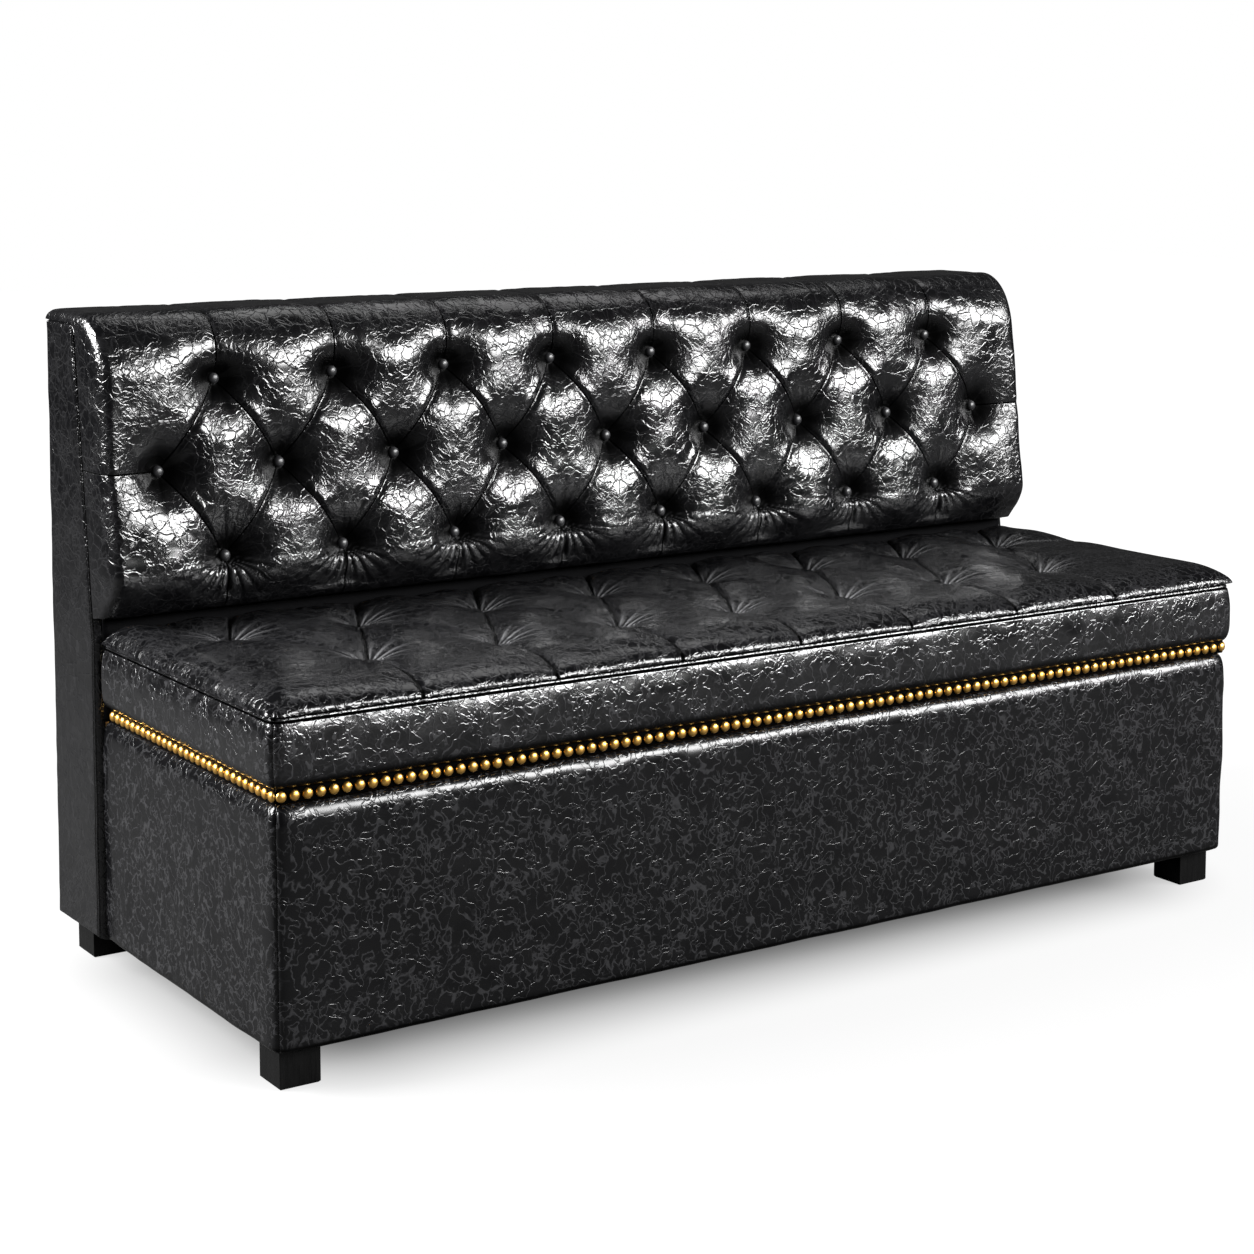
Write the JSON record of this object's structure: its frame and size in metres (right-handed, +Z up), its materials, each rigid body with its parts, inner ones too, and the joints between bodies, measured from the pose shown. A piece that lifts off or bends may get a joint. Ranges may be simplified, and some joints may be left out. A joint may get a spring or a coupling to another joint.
{
  "type": "tufted sofa",
  "caption": "Armless bench sofa in black faux leather: deep-buttoned back, tufted lift-up seat with brass nail trim, closed storage base on block feet.",
  "frame": {"origin": "centre of the footprint at floor level", "axes": "+X along the seat to the sitter's left, +Y from the front towards the back, +Z up"},
  "size_m": [1.464, 0.622, 0.8252],
  "materials": {
    "plywood": "sanded birch plywood",
    "pine": "planed pine",
    "hardboard": "pressed hardboard",
    "black_faux_leather": "glossy crackle-grain faux leather",
    "button_leather": "satin covered button",
    "foam": "open-cell upholstery foam",
    "cambric": "non-woven dust cloth",
    "felt": "pressed felt",
    "twine": "waxed button twine",
    "brass": "polished domed brass",
    "black_feet": "black satin lacquer",
    "zinc_steel": "zinc-plated steel",
    "black_steel": "black powder coat"
  },
  "bodies": {
    "base": {"back_base_rail": "pine", "back_board": "plywood", "back_bolts": "zinc_steel", "back_bottom_rail": "pine", "back_button_ties": "twine", "back_buttons": "button_leather", "back_foam": "foam", "back_lining": "black_faux_leather", "back_post_left": "plywood", "back_post_right": "plywood", "back_rear_board": "hardboard", "back_rear_cover": "black_faux_leather", "back_seat_rail": "pine", "back_side_cover_left": "black_faux_leather", "back_side_cover_right": "black_faux_leather", "back_studs": "pine", "back_top_rail": "pine", "back_tufted_cover": "black_faux_leather", "base_corner_battens": "pine", "base_cover_front": "black_faux_leather", "base_cover_left": "black_faux_leather", "base_cover_right": "black_faux_leather", "base_divider": "plywood", "base_floor": "plywood", "base_floor_cleats": "pine", "base_foot_blocks": "plywood", "base_front_panel": "plywood", "base_left_panel": "plywood", "base_rear_panel": "plywood", "base_right_panel": "plywood", "dust_cover": "cambric", "foot_bolts": "zinc_steel", "foot_front_left": "black_feet", "foot_front_right": "black_feet", "foot_rear_left": "black_feet", "foot_rear_right": "black_feet", "hinge_pins": "zinc_steel", "hinge_plate_left": "black_steel", "hinge_plate_right": "black_steel", "seat_buffers": "felt"},
    "seat": {"hinge_arm_left": "black_steel", "hinge_arm_right": "black_steel", "nail_band_front": "black_faux_leather", "nail_band_left": "black_faux_leather", "nail_band_right": "black_faux_leather", "seat_border_front": "black_faux_leather", "seat_border_left": "black_faux_leather", "seat_border_rear": "black_faux_leather", "seat_border_right": "black_faux_leather", "seat_cross_rails": "pine", "seat_deck": "plywood", "seat_foam": "foam", "seat_front_rail": "pine", "seat_left_rail": "pine", "seat_rear_rail": "pine", "seat_right_rail": "pine", "seat_tuft_ties": "twine", "seat_tufted_cover": "black_faux_leather", "trim_nails": "brass", "hinge_screws": "zinc_steel"}
  },
  "joints": [
    {"name": "seat_lift", "type": "hinge", "parent": "base", "child": "seat", "pos_m": [0, 0.219, 0.54], "axis": [-1, 0, 0], "range_deg": [0, 35]}
  ]
}
